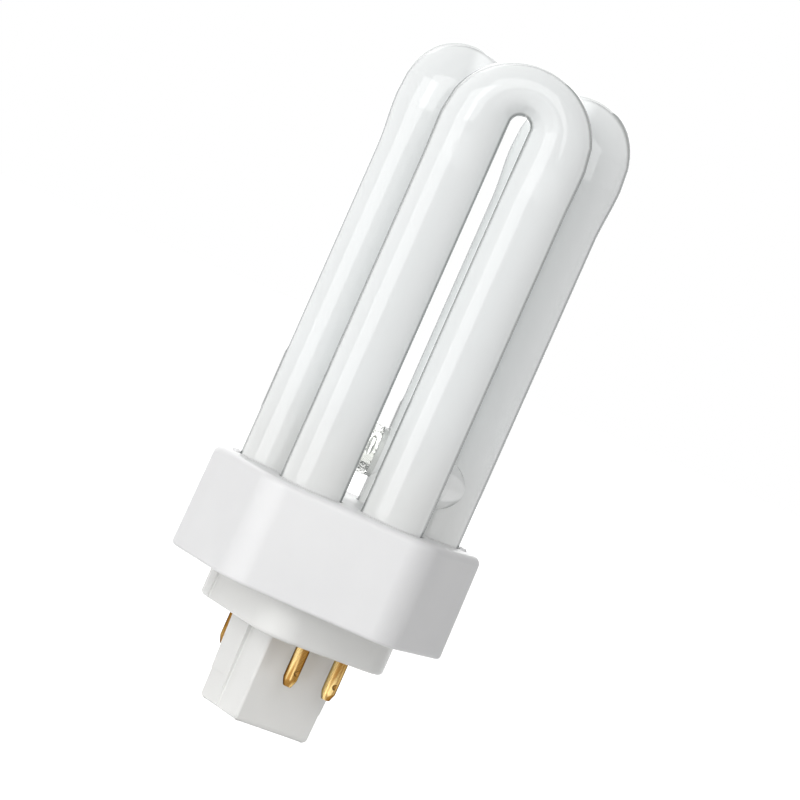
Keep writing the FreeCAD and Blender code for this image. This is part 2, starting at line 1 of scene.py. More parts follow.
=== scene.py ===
# %% [markdown]
# A plug-in fluorescent lamp, modelled step by step.
#
# The real lamp is one sealed glass vessel: three tubes, each bent over like a hairpin, white
# inside with powder and fused to each other by two short bridges. Its six legs stand in a wide
# moulded collar. A second moulding closes the collar from below, with a square flange, a key
# post and four brass pins. Nothing on it moves.
#
# The construction is already there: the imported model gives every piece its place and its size.
# This lesson models the same pieces again with smooth, dense surfaces, and gives each one the
# finish that the real one has.

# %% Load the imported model
import math

import bmesh
import bpy
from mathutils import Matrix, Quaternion, Vector


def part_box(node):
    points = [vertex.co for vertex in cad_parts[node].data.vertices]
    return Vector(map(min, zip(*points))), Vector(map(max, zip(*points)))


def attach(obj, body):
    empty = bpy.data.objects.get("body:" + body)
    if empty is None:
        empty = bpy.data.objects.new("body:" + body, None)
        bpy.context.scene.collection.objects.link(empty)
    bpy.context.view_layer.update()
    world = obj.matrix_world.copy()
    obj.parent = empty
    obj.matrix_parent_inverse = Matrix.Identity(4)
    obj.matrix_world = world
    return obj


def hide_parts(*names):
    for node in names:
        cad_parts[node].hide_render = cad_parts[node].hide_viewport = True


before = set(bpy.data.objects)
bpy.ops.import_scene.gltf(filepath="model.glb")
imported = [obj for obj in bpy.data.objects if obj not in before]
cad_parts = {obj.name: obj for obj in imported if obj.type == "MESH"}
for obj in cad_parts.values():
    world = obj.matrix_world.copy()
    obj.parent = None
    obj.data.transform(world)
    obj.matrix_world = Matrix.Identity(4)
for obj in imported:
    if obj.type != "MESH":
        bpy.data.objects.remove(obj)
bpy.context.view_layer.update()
print("the packed model has", len(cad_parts), "nodes")

# %% [markdown]
# Sizes come first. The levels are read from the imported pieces, so that each new piece meets its
# neighbours exactly. Only what a piece's box can't tell, such as a wall or a rounding, is written
# here, in millimetres.

# %% Levels and places
MM = 0.001
COS_30 = math.cos(math.radians(30))

tube_low, tube_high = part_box("discharge_tube")
collar_low, collar_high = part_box("collar")
cement_low, cement_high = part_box("basing_cement")
cap_low, cap_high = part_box("base_cap")

TUBE_RADIUS = 5.5 * MM
LEG_PITCH = 14.4 * MM
LEG_X = LEG_PITCH * COS_30
LEG_Y = LEG_PITCH / 2
LEG_ANGLES = [30 + 60 * number for number in range(6)]
CROWN = tube_high.z
SEATING = 0.0
COLLAR_FOOT, COLLAR_TOP = collar_low.z, collar_high.z
POST_END = cap_low.z
print("crown at %.1f mm, collar from %.1f to %.1f mm, cement from %.1f to %.1f mm" % (
    CROWN / MM, COLLAR_FOOT / MM, COLLAR_TOP / MM, cement_low.z / MM, cement_high.z / MM))

# %% [markdown]
# The edit-mode operators act on whatever is selected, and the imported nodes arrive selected. So
# every step below starts from a clean selection, and picks edges in code by where they lie.

# %% Selecting, blocks, rounding and cutting
def only(piece):
    """Selects one object alone and makes it the active one."""
    bpy.ops.object.select_all(action="DESELECT")
    piece.select_set(True)
    bpy.context.view_layer.objects.active = piece
    return piece


def add_block(low, high):
    """A box between two corners, with its object at the origin."""
    low, high = Vector(low), Vector(high)
    bpy.ops.object.select_all(action="DESELECT")
    bpy.ops.mesh.primitive_cube_add(size=1, location=(low + high) / 2, scale=high - low)
    bpy.ops.object.transform_apply()
    return bpy.context.object


def add_rod(centre, radius, low, high, sides=96):
    """An upright cylinder, with its object at the origin."""
    middle = (centre[0], centre[1], (low + high) / 2)
    bpy.ops.object.select_all(action="DESELECT")
    bpy.ops.mesh.primitive_cylinder_add(vertices=sides, radius=radius, depth=high - low,
                                        location=middle)
    bpy.ops.object.transform_apply()
    return bpy.context.object


def pick_edges(piece, wanted):
    """In edit mode, selects the edges whose two ends pass the test."""
    only(piece)
    bpy.ops.object.mode_set(mode="EDIT")
    bpy.ops.mesh.select_mode(type="EDGE")
    bpy.ops.mesh.select_all(action="DESELECT")
    mesh = bmesh.from_edit_mesh(piece.data)
    for edge in mesh.edges:
        if wanted(edge.verts[0].co, edge.verts[1].co):
            edge.select_set(True)
    bmesh.update_edit_mesh(piece.data)


def round_edges(piece, wanted, reach, segments):
    """Bevels the picked edges. The reach is how far the rounding runs along each face."""
    pick_edges(piece, wanted)
    bpy.ops.mesh.bevel(offset=reach, segments=segments, affect="EDGES")
    bpy.ops.object.mode_set(mode="OBJECT")


NEAR = 1e-6
UPRIGHT = 0.7


def upright(a, b):
    """True for the edges that run up and down, also where the walls have draft."""
    return abs(a.z - b.z) > UPRIGHT * (a - b).length


def at_height(level):
    """A test for the edges that lie flat at one height."""
    return lambda a, b: abs(a.z - level) < NEAR and abs(b.z - level) < NEAR


def combine(piece, tool, operation="DIFFERENCE"):
    """Cuts a piece with a tool, or joins the tool to it, and removes the tool."""
    only(piece)
    bpy.ops.object.modifier_add(type="BOOLEAN")
    boolean = piece.modifiers[-1]
    boolean.object = tool
    boolean.operation = operation
    boolean.solver = "EXACT"
    bpy.ops.object.modifier_apply(modifier=boolean.name)
    bpy.data.objects.remove(tool)
    return piece


def turned_copy(piece, angle):
    """A copy with a mesh of its own, turned about the lamp's axis. Rotate's angle is reversed."""
    only(piece)
    bpy.ops.object.duplicate(linked=False)
    bpy.ops.transform.rotate(value=-math.radians(angle), orient_axis="Z",
                             center_override=(0, 0, 0))
    bpy.ops.object.transform_apply()
    return bpy.context.object


# %% [markdown]
# Every finished piece gets the same last steps: smooth shading that stays crisp at real edges,
# normals weighted by face so that the flats look flat, and its material, and the imported nodes
# that it stands for are hidden.

# %% Finishing a piece
SMOOTH_ANGLE = math.radians(32)


def finish_piece(piece, name, material, slot, *nodes):
    """The last steps of a new piece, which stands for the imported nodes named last, if any."""
    only(piece)
    piece.name = name
    piece.data.name = name
    bpy.ops.object.mode_set(mode="EDIT")
    bpy.ops.mesh.select_all(action="SELECT")
    bpy.ops.mesh.remove_doubles(threshold=NEAR)
    bpy.ops.mesh.normals_make_consistent(inside=False)
    bpy.ops.object.mode_set(mode="OBJECT")
    bpy.ops.object.shade_smooth_by_angle(angle=SMOOTH_ANGLE)
    bpy.ops.object.modifier_add(type="WEIGHTED_NORMAL")
    piece.modifiers[-1].keep_sharp = True
    bpy.ops.object.modifier_apply(modifier=piece.modifiers[-1].name)
    piece.data.materials.clear()
    piece.data.materials.append(material)
    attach(piece, "root")
    if nodes:
        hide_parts(*nodes)
    print(name, "has", len(piece.data.polygons), "faces")
    return piece


# %% [markdown]
# Finishes. A colour is picked as a hex value on screen, and the shader wants linear light, so one
# function turns one into the other. Another adds a node with its settings, its numbers and what
# feeds it, and every material below is built with that.

# %% Colour and node helpers
def linear(hex_colour):
    """An sRGB hex colour as linear red, green, blue and alpha."""
    channels = []
    for start in (1, 3, 5):
        value = int(hex_colour[start:start + 2], 16) / 255
        channels.append(value / 12.92 if value <= 0.04045 else ((value + 0.055) / 1.055) ** 2.4)
    return (*channels, 1.0)


def new_material(name):
    """A material with only its output node left."""
    material = bpy.data.materials.new(name)
    material.use_nodes = True
    tree = material.node_tree
    for node in list(tree.nodes):
        if node.type != "OUTPUT_MATERIAL":
            tree.nodes.remove(node)
    return material, tree


def add_node(tree, kind, values=None, links=None, **settings):
    """Adds one shader node with its settings, the numbers in its sockets and what feeds them."""
    node = tree.nodes.new("ShaderNode" + kind)
    for name, value in settings.items():
        setattr(node, name, value)
    for socket, value in (values or {}).items():
        node.inputs[socket].default_value = value
    for socket, source in (links or {}).items():
        tree.links.new(source, node.inputs[socket])
    return node


def show(tree, shader):
    """Wires a shader to the material's output."""
    output = next(node for node in tree.nodes if node.type == "OUTPUT_MATERIAL")
    tree.links.new(shader, output.inputs["Surface"])


def per_mm(size):
    """The scale of a noise whose marks are that many millimetres across."""
    return 1 / (size * MM)


# A wave texture of scale 1 repeats after this length.
WAVE_LENGTH = math.tau / 20


# %% [markdown]
# The tube's glass. The real surface is soda glass, drawn and bent by hand over a flame, 1 mm thick
# and quite clear. What looks white is the phosphor powder on its inner wall. So the base of the
# shader is the powder, as rough a diffuse as there is, and the glass is a clear coat over it with
# nearly no roughness. The coat's index is above that of glass, because the wall mirrors with both
# of its faces. Towards the silhouette the colour is painted dark grey. This painted shade also
# darkens the gaps between the tubes, and in part it stands for looking along the wall.
#
# Light goes through the powder and round between the tubes, so a real one looks flat and pale even
# in the shade. A faint glow, painted light, stands for that light. More of it is painted where the
# tubes face each other round the lamp's axis, where they lie in shade. It has the colour that is
# seen, so it is fainter at the grey silhouette. Drawn glass isn't perfectly round, so a very low
# bump bends the reflections a little.

# %% Coated glass
POWDER = "#DCDEDE"
# The greyer powder colour, for random patches and for the painted shade near the collar.
POWDER_PATCH_AND_SHADE = "#D4D5D4"
# The colour of the painted shade along the silhouette.
GLASS_RIM_SHADE = "#5C6261"
RIM_FROM, RIM_TO = 0.56, 0.74
# Painted light: a faint glow all over the powder, and more of it between the tubes.
PAINTED_GLOW = 0.22
PAINTED_LIGHT_BETWEEN = 0.27
# Distances from the lamp's axis, between which the painted light between the tubes fades.
GLOW_FULL, GLOW_GONE = 9.2, 11.8
# The coated bridge runs this way. Nearer to its middle than the first distance the glass has
# neither the painted rim shade nor the painted light between the tubes, and from the second
# distance on it has both.
BRIDGE_WAY = (math.cos(math.radians(30)), math.sin(math.radians(30)), 0)
STUB_REACH, LEG_REACH = 1.8, 3.0
POWDER_CLOUD = 9.0
POWDER_PATCHY = 0.12
DRAWN_WAVE = 7.0
WAVE_STRETCH = 0.22
# Heights in millimetres between which the painted shade near the collar fades out.
SHADE_BELOW, SHADE_GONE_ABOVE = 24.0, 46.0


def coated_glass():
    """White powder behind a coat of clear glass."""
    material, tree = new_material("phosphor_coated_glass")
    place = add_node(tree, "TexCoord").outputs["Object"]
    cloud = add_node(tree, "TexNoise", {"Scale": per_mm(POWDER_CLOUD), "Detail": 3.0},
                     {"Vector": place})
    height = add_node(tree, "SeparateXYZ", links={"Vector": place})
    # Painted shade: the powder turns greyer towards the lower ends of the legs, near the collar.
    # It is also greyer at random in patches.
    full = add_node(tree, "MapRange", {"From Min": SHADE_BELOW * MM, "From Max": SHADE_GONE_ABOVE * MM},
                    {"Value": height.outputs["Z"]}, interpolation_type="SMOOTHSTEP")
    patchy = add_node(tree, "Math", {1: POWDER_PATCHY}, {0: cloud.outputs["Fac"]},
                      operation="MULTIPLY")
    share = add_node(tree, "Math", links={0: full.outputs["Result"], 1: patchy.outputs["Value"]},
                     operation="SUBTRACT", use_clamp=True)
    powder = add_node(tree, "Mix", {6: linear(POWDER_PATCH_AND_SHADE), 7: linear(POWDER)},
                      {0: share.outputs["Value"]}, data_type="RGBA")
    # Painted shade: along the silhouette and in the gaps between the tubes the colour is painted
    # dark grey, partly for the long way through the glass there.
    facing = add_node(tree, "LayerWeight", {"Blend": 0.5})
    rim = add_node(tree, "MapRange", {"From Min": RIM_FROM, "From Max": RIM_TO},
                   {"Value": facing.outputs["Facing"]}, interpolation_type="SMOOTHSTEP")
    # The stubs of the coated bridge get neither the painted rim shade nor the painted light between
    # the tubes.
    across = add_node(tree, "VectorMath", {1: BRIDGE_WAY}, {0: place}, operation="DOT_PRODUCT")
    aside = add_node(tree, "Math", links={0: across.outputs["Value"]}, operation="ABSOLUTE")
    on_leg = add_node(tree, "MapRange", {"From Min": STUB_REACH * MM, "From Max": LEG_REACH * MM},
                      {"Value": aside.outputs["Value"]})
    rim_shade_mask = add_node(tree, "Math", links={0: rim.outputs["Result"], 1: on_leg.outputs["Result"]},
                      operation="MULTIPLY")
    seen = add_node(tree, "Mix", {7: linear(GLASS_RIM_SHADE)},
                    {0: rim_shade_mask.outputs["Value"], 6: powder.outputs[2]}, data_type="RGBA")
    # Painted light: the tubes glow more where they face each other round the lamp's axis, where
    # they lie in shade. It stands for light that goes round between them.
    flat = add_node(tree, "Mapping", {"Scale": (1, 1, 0)}, {"Vector": place})
    radius = add_node(tree, "VectorMath", links={0: flat.outputs["Vector"]}, operation="LENGTH")
    near = add_node(tree, "MapRange",
                    {"From Min": GLOW_FULL * MM, "From Max": GLOW_GONE * MM,
                     "To Min": 1.0, "To Max": 0.0},
                    {"Value": radius.outputs["Value"]}, interpolation_type="SMOOTHSTEP")
    painted_light_mask = add_node(tree, "Math",
                           links={0: near.outputs["Result"], 1: on_leg.outputs["Result"]},
                           operation="MULTIPLY")
    glow = add_node(tree, "Math", {1: PAINTED_LIGHT_BETWEEN, 2: PAINTED_GLOW},
                    {0: painted_light_mask.outputs["Value"]}, operation="MULTIPLY_ADD")
    stretched = add_node(tree, "Mapping", {"Scale": (1, 1, WAVE_STRETCH)}, {"Vector": place})
    wave = add_node(tree, "TexNoise", {"Scale": per_mm(DRAWN_WAVE), "Detail": 2.0},
                    {"Vector": stretched.outputs["Vector"]})
    bump = add_node(tree, "Bump", {"Strength": 0.1, "Distance": 0.3 * MM},
                    {"Height": wave.outputs["Fac"]})
    shader = add_node(
        tree, "BsdfPrincipled",
        {"Roughness": 0.6, "IOR": 1.45, "Specular IOR Level": 0.1, "Coat Weight": 1.0,
         "Coat Roughness": 0.02, "Coat IOR": 1.62, "Diffuse Roughness": 1.0},
        {"Base Color": seen.outputs[2], "Coat Normal": bump.outputs["Normal"],
         "Emission Color": seen.outputs[2], "Emission Strength": glow.outputs["Value"]})
    show(tree, shader.outputs["BSDF"])
    return material


# %% [markdown]
# The seam of the first bridge is the one place without powder. Two stubs of tube were melted
# together there, and the bare glass is thick and uneven, so it sparkles. It is a true glass shader:
# it lets light through, with the index of soda glass and a trace of green.

# %% Clear glass
CLEAR = "#F3F4F1"
MELT_RIPPLE = 0.8


def clear_glass():
    """Bare glass with the ripples of a melted seam."""
    material, tree = new_material("clear_fused_glass")
    place = add_node(tree, "TexCoord").outputs["Object"]
    ripple = add_node(tree, "TexNoise", {"Scale": per_mm(MELT_RIPPLE), "Detail": 1.0},
                      {"Vector": place})
    bump = add_node(tree, "Bump", {"Strength": 0.8, "Distance": 0.16 * MM},
                    {"Height": ripple.outputs["Fac"]})
    shader = add_node(
        tree, "BsdfPrincipled",
        {"Base Color": linear(CLEAR), "Roughness": 0.03, "IOR": 1.52, "Transmission Weight": 0.92},
        {"Normal": bump.outputs["Normal"]})
    show(tree, shader.outputs["BSDF"])
    return material


# %% [markdown]
# Both mouldings are white polyester resin, injected into a steel mould. The collar's mould was
# spark-eroded, which leaves a fine satin grain. The cap's mould was polished, so its faces show
# soft reflections. One recipe serves both, with its own roughness, grain depth and colour.
# The real grain is about 0.1 mm, too fine to show here, so it is drawn at 0.3 mm.

# %% Moulded plastic
MOULD_GRAIN = 0.3
SINK_MARKS = 14.0


def moulded_plastic(name, colour, shadow_colour, roughness, grain):
    """White resin with faint sink marks and the grain of its mould."""
    material, tree = new_material(name)
    place = add_node(tree, "TexCoord").outputs["Object"]
    sinks = add_node(tree, "TexNoise", {"Scale": per_mm(SINK_MARKS), "Detail": 2.0},
                     {"Vector": place})
    tone = add_node(tree, "Mix", {6: linear(colour), 7: linear(shadow_colour)},
                    {0: sinks.outputs["Fac"]}, data_type="RGBA")
    rough = add_node(tree, "MapRange", {"To Min": roughness * 0.85, "To Max": roughness * 1.15},
                     {"Value": sinks.outputs["Fac"]})
    fine = add_node(tree, "TexNoise", {"Scale": per_mm(MOULD_GRAIN), "Detail": 2.0},
                    {"Vector": place})
    bump = add_node(tree, "Bump", {"Strength": grain, "Distance": 0.03 * MM},
                    {"Height": fine.outputs["Fac"]})
    waves = add_node(tree, "Bump", {"Strength": 0.25, "Distance": 0.25 * MM},
                     {"Height": sinks.outputs["Fac"], "Normal": bump.outputs["Normal"]})
    shader = add_node(tree, "BsdfPrincipled", {"IOR": 1.55},
                      {"Base Color": tone.outputs[2], "Roughness": rough.outputs["Result"],
                       "Normal": waves.outputs["Normal"]})
    show(tree, shader.outputs["BSDF"])
    return material


# %% [markdown]
# The pins are turned from brass rod on a small automatic lathe and left bright. Each pass of the
# tool leaves a fine ring, which spreads the reflections along the pin. The rings are drawn 0.22 mm
# apart, twice the real feed, so that they show. The metal has dulled, and the sprung contacts of a
# holder have wiped it bright again in lines along the pin. A dark edge tint paints it dark where
# one looks along the surface, a painted dark reflection.

# %% Turned brass
BRASS = "#E8CB8C"
BRASS_DULL = "#936D38"
# The dark edge tint is a painted dark reflection along the pins' edges.
BRASS_PAINTED_EDGE_DARK = "#4A3A20"
TARNISH = 1.6
WIPE_WIDTH = 1.1
WIPE_STRETCH = 0.08
WIPED_FROM, WIPED_TO = 0.44, 0.62
LATHE_FEED = 0.22


def turned_brass():
    """Dulled brass with bright lines along it and the rings of the lathe round it."""
    material, tree = new_material("turned_brass")
    place = add_node(tree, "TexCoord").outputs["Object"]
    tarnish = add_node(tree, "TexNoise", {"Scale": per_mm(TARNISH), "Detail": 4.0},
                       {"Vector": place})
    lengthwise = add_node(tree, "Mapping", {"Scale": (1, 1, WIPE_STRETCH)}, {"Vector": place})
    wiped = add_node(tree, "TexNoise", {"Scale": per_mm(WIPE_WIDTH), "Detail": 1.0},
                     {"Vector": lengthwise.outputs["Vector"]})
    bright = add_node(tree, "MapRange", {"From Min": WIPED_FROM, "From Max": WIPED_TO},
                      {"Value": wiped.outputs["Fac"]}, interpolation_type="SMOOTHSTEP")
    tone = add_node(tree, "Mix", {6: linear(BRASS_DULL), 7: linear(BRASS)},
                    {0: bright.outputs["Result"]}, data_type="RGBA")
    rough = add_node(tree, "MapRange", {"To Min": 0.16, "To Max": 0.28},
                     {"Value": tarnish.outputs["Fac"]})
    rings = add_node(tree, "TexWave", {"Scale": per_mm(LATHE_FEED) * WAVE_LENGTH,
                                       "Distortion": 0.4},
                     {"Vector": place}, wave_type="BANDS", bands_direction="Z")
    bump = add_node(tree, "Bump", {"Strength": 0.6, "Distance": 0.06 * MM},
                    {"Height": rings.outputs["Fac"]})
    # A quarter turn of the anisotropy spreads a reflection along the pin and not round it.
    # The dark specular tint paints a dark reflection at the pin's edges.
    shader = add_node(tree, "BsdfPrincipled",
                      {"Metallic": 1.0, "Anisotropic": 1.0, "Anisotropic Rotation": 0.25,
                       "Specular Tint": linear(BRASS_PAINTED_EDGE_DARK)},
                      {"Base Color": tone.outputs[2], "Roughness": rough.outputs["Result"],
                       "Normal": bump.outputs["Normal"]})
    show(tree, shader.outputs["BSDF"])
    return material


# %% [markdown]
# Two finishes hide inside the collar: the grey basing cement that holds the glass, cast and dull,
# and the drawn nickel wire of the leads, with its fine lines along the wire.

# %% Cement and wire
CEMENT, CEMENT_PALE = "#A9A59A", "#C9C5BB"
CEMENT_SAND = 0.8
NICKEL, NICKEL_DARK = "#C2C0B8", "#8F8D86"
DRAW_LINES = 0.15
DRAW_STRETCH = 0.1


def basing_cement():
    """Dull grey cement, as coarse as fine sand."""
    material, tree = new_material("basing_cement")
    place = add_node(tree, "TexCoord").outputs["Object"]
    sand = add_node(tree, "TexNoise", {"Scale": per_mm(CEMENT_SAND), "Detail": 6.0},
                    {"Vector": place})
    tone = add_node(tree, "Mix", {6: linear(CEMENT), 7: linear(CEMENT_PALE)},
                    {0: sand.outputs["Fac"]}, data_type="RGBA")
    bump = add_node(tree, "Bump", {"Strength": 0.7, "Distance": 0.15 * MM},
                    {"Height": sand.outputs["Fac"]})
    shader = add_node(tree, "BsdfPrincipled", {"Roughness": 0.9},
                      {"Base Color": tone.outputs[2], "Normal": bump.outputs["Normal"]})
    show(tree, shader.outputs["BSDF"])
    return material


def drawn_nickel():
    """Nickel wire with the lines that drawing left along it."""
    material, tree = new_material("drawn_nickel_wire")
    place = add_node(tree, "TexCoord").outputs["Object"]
    long_way = add_node(tree, "Mapping", {"Scale": (1, 1, DRAW_STRETCH)}, {"Vector": place})
    lines = add_node(tree, "TexNoise", {"Scale": per_mm(DRAW_LINES), "Detail": 2.0},
                     {"Vector": long_way.outputs["Vector"]})
    tone = add_node(tree, "Mix", {6: linear(NICKEL), 7: linear(NICKEL_DARK)},
                    {0: lines.outputs["Fac"]}, data_type="RGBA")
    shader = add_node(tree, "BsdfPrincipled", {"Metallic": 1.0, "Roughness": 0.3},
                      {"Base Color": tone.outputs[2]})
    show(tree, shader.outputs["BSDF"])
    return material


# %% Make the finishes
glass_finish = coated_glass()
seam_finish = clear_glass()
collar_finish = moulded_plastic("satin_moulded_resin", "#F4F4F4", "#E9E9EA",
                                roughness=0.42, grain=0.35)
cap_finish = moulded_plastic("polished_moulded_resin", "#F2F2F0", "#ECECEA",
                             roughness=0.24, grain=0.12)
brass_finish = turned_brass()
cement_finish = basing_cement()
nickel_finish = drawn_nickel()
print("made", len(bpy.data.materials), "materials")

# %% [markdown]
# The bent tube. A glass bender heats a straight tube in the middle and folds it over a former, so
# the bend is a little flattened at its top and swollen on its sides. By hand one would extrude a
# ring again and again along the tube and reshape it each time. The code does the same with one
# half of one hairpin: each ring has a place, a tilt and two half widths.
#
# The outside of the bend is a half circle. The inside is a smaller one that sits higher, and the
# rings span from one to the other. Below the bend the tube eases back to a round one.

# %% The rings along half a hairpin
SIDES = 80
END_RADIUS = 4.4 * MM
PINCH_LENGTH = 4.5 * MM
LEG_END = tube_low.z + PINCH_LENGTH
BEND_SPREAD = 0.2 * MM
BEND_BULGE = 0.7 * MM
CROWN_THICKNESS = 8.7 * MM
NECK_DROP = 9.4 * MM
ARCH_RADIUS = LEG_Y + TUBE_RADIUS + BEND_SPREAD
ARCH_HEIGHT = CROWN - ARCH_RADIUS
SLOT_RADIUS = LEG_Y - TUBE_RADIUS
SLOT_HEIGHT = CROWN - CROWN_THICKNESS - SLOT_RADIUS
END_STEPS, NECK_STEPS, BEND_STEPS = 6, 10, 14
MIRROR_GAP = 1e-5


def end_rings():
    """The rounded lower end of a leg, from its small flat up to the full tube."""
    rings = []
    for step in range(END_STEPS + 1):
        turn = math.radians(90) * step / END_STEPS
        radius = TUBE_RADIUS - END_RADIUS * (1 - math.sin(turn))
        rings.append((LEG_Y, LEG_END + END_RADIUS * (1 - math.cos(turn)), 0, radius, radius))
    return rings


def neck_rings():
    """The stretch below the bend, where the round tube eases into the bend's first section."""
    spring_y, spring_half = (ARCH_RADIUS + SLOT_RADIUS) / 2, (ARCH_RADIUS - SLOT_RADIUS) / 2
    rings = []
    for step in range(NECK_STEPS + 1):
        share = step / NECK_STEPS
        eased = share * share * (3 - 2 * share)
        rings.append((LEG_Y + (spring_y - LEG_Y) * eased,
                      ARCH_HEIGHT - NECK_DROP * (1 - share), 0,
                      TUBE_RADIUS + BEND_BULGE * eased,
                      TUBE_RADIUS + (spring_half - TUBE_RADIUS) * eased))
    return rings


def bend_rings():
    """A quarter turn from the leg to the crown, between the outer and the inner half circle."""
    lift = SLOT_HEIGHT - ARCH_HEIGHT
    rings = []
    for step in range(1, BEND_STEPS + 1):
        turn = math.radians(90) * step / BEND_STEPS
        across, up = math.cos(turn), math.sin(turn)
        reach = math.sqrt(ARCH_RADIUS ** 2 - (lift * across) ** 2) - lift * up
        middle = (reach + SLOT_RADIUS) / 2
        rings.append((middle * across, SLOT_HEIGHT + middle * up, turn,
                      TUBE_RADIUS + BEND_BULGE, (reach - SLOT_RADIUS) / 2))
    return rings


# %% Extruding the rings
def next_ring(here, there):
    """Extrudes the selected ring and gives the new one its own place, tilt and widths."""
    (y, z, turn, wide, deep), (new_y, new_z, new_turn, new_wide, new_deep) = here, there
    centre = (LEG_X, new_y, new_z)
    bpy.ops.mesh.extrude_region_move(
        TRANSFORM_OT_translate={"value": (0, new_y - y, new_z - z)})
    bpy.ops.transform.rotate(value=turn, orient_axis="X", center_override=centre)
    bpy.ops.transform.resize(value=(new_wide / wide, new_deep / deep, 1), center_override=centre)
    bpy.ops.transform.rotate(value=-new_turn, orient_axis="X", center_override=centre)


def close_end(piece, level):
    """Fills the open ring at one height with a face."""
    pick_edges(piece, at_height(level))
    bpy.ops.mesh.edge_face_add()
    bpy.ops.object.mode_set(mode="OBJECT")


def hairpin():
    """One bent tube with closed ends, the one that faces +X."""
    rings = end_rings() + neck_rings() + bend_rings()
    y, z, _, wide, _ = rings[0]
    bpy.ops.object.select_all(action="DESELECT")
    bpy.ops.mesh.primitive_circle_add(vertices=SIDES, radius=wide, location=(LEG_X, y, z))
    bpy.ops.object.transform_apply()
    tube = bpy.context.object
    bpy.ops.object.mode_set(mode="EDIT")
    bpy.ops.mesh.select_all(action="SELECT")
    for here, there in zip(rings, rings[1:]):
        next_ring(here, there)
    bpy.ops.object.mode_set(mode="OBJECT")
    close_end(tube, LEG_END)
    only(tube)
    bpy.ops.object.modifier_add(type="MIRROR")
    mirror = tube.modifiers[-1]
    mirror.use_axis = (False, True, False)
    mirror.merge_threshold = MIRROR_GAP
    bpy.ops.object.modifier_apply(modifier=mirror.name)
    return tube


first_tube = hairpin()
print("one hairpin has", len(first_tube.data.vertices), "points")

# %% [markdown]
# The bridges. Between two hairpins a short stub was blown out of each leg, and the two stubs were
# fused. The stubs are white inside like the tube and belong to it, and each seam becomes a piece
# of its own. A stub is drawn for the place that faces +X and turned to where it belongs.

# %% Stubs, seals and exhaust tips
BRIDGE_RADIUS = 4.45 * MM
BRIDGE_HEIGHT = 33.2 * MM
BRIDGE_ANGLES = (60, -60)
SEAM_HALF = 1.1 * MM
STUB_EDGE = 0.3 * MM
PINCH_SIZE = (3.0 * MM, 8.4 * MM)
PINCH_EDGE = 0.9 * MM
EXHAUST_RADIUS = 2.1 * MM
EXHAUST_LENGTH = 3.6 * MM
EXHAUST_EDGE = 1.6 * MM


def crosswise_rod(radius, start, end, edge):
    """A rod along Y between two hairpins, with a rounded rim at its end towards the seam."""
    bpy.ops.object.select_all(action="DESELECT")
    bpy.ops.mesh.primitive_cylinder_add(
        vertices=SIDES, radius=radius, depth=abs(end - start), rotation=(math.radians(90), 0, 0),
        location=(LEG_X, (start + end) / 2, BRIDGE_HEIGHT))
    bpy.ops.object.transform_apply()
    rod = bpy.context.object
    round_edges(rod, lambda a, b: abs(a.y - end) < NEAR and abs(b.y - end) < NEAR, edge, 5)
    return rod


def pinch_seal():
    """The end of an electrode leg, pressed flat round its two wires."""
    half_x, half_y = PINCH_SIZE[0] / 2, PINCH_SIZE[1] / 2
    seal = add_block((LEG_X - half_x, LEG_Y - half_y, LEG_END - PINCH_LENGTH),
                     (LEG_X + half_x, LEG_Y + half_y, LEG_END + END_RADIUS))
    round_edges(seal, at_height(LEG_END - PINCH_LENGTH), PINCH_EDGE, 4)
    return seal


def exhaust_tip():
    """The stub through which the tube was pumped out, melted to a round tip."""
    foot = LEG_END - EXHAUST_LENGTH
    tip = add_rod((LEG_X, LEG_Y), EXHAUST_RADIUS, foot, LEG_END + END_RADIUS, 32)
    round_edges(tip, at_height(foot), EXHAUST_EDGE, 5)
    return tip


# %% Fuse the vessel
vessel = first_tube
tubes = [turned_copy(first_tube, angle) for angle in (120, 240)]
for tube in tubes:
    combine(vessel, tube, "UNION")
for side in (1, -1):
    stub = crosswise_rod(BRIDGE_RADIUS, side * LEG_Y, side * SEAM_HALF, STUB_EDGE)
    for angle in BRIDGE_ANGLES:
        combine(vessel, turned_copy(stub, angle), "UNION")
    bpy.data.objects.remove(stub)

# The seal and the tip are modelled on the leg at 30 degrees and turned to the others.
seal, tip = pinch_seal(), exhaust_tip()
for angle in (120, 180):
    combine(vessel, turned_copy(seal, angle), "UNION")
for angle in (0, 300):
    combine(vessel, turned_copy(tip, angle), "UNION")
bpy.data.objects.remove(seal)
bpy.data.objects.remove(tip)
finish_piece(vessel, "bent_tubes", glass_finish, "coated_glass", "discharge_tube")

# %% [markdown]
# The seam itself is a thick ring of glass with a swollen middle. The ring is a profile spun round
# the bridge's axis: a few points are extruded one from the other, spun, and closed. The first
# bridge's seam is bare and has two melted drops on the side that faces the lamp's axis. In the
# second bridge the powder reached the seam, so that one is low and has the tube's finish.

# %% The two seams
CLEAR_BULGE, WHITE_BULGE = 0.25 * MM, 0.03 * MM
SEAM_WALL = 1.3 * MM
# Each drop's half width, half height and level from the bridge's axis, in millimetres.
DROPS = [(0.62, 1.75, 0.8), (0.6, 0.7, -2.9)]
# Places along the bridge in millimetres, each with its share of the bulge.
SEAM_PROFILE = [(-2.6, 0.0), (-1.7, 0.35), (-0.8, 0.6), (0.0, 1.0), (0.8, 0.6), (1.7, 0.35),
                (2.6, 0.0)]


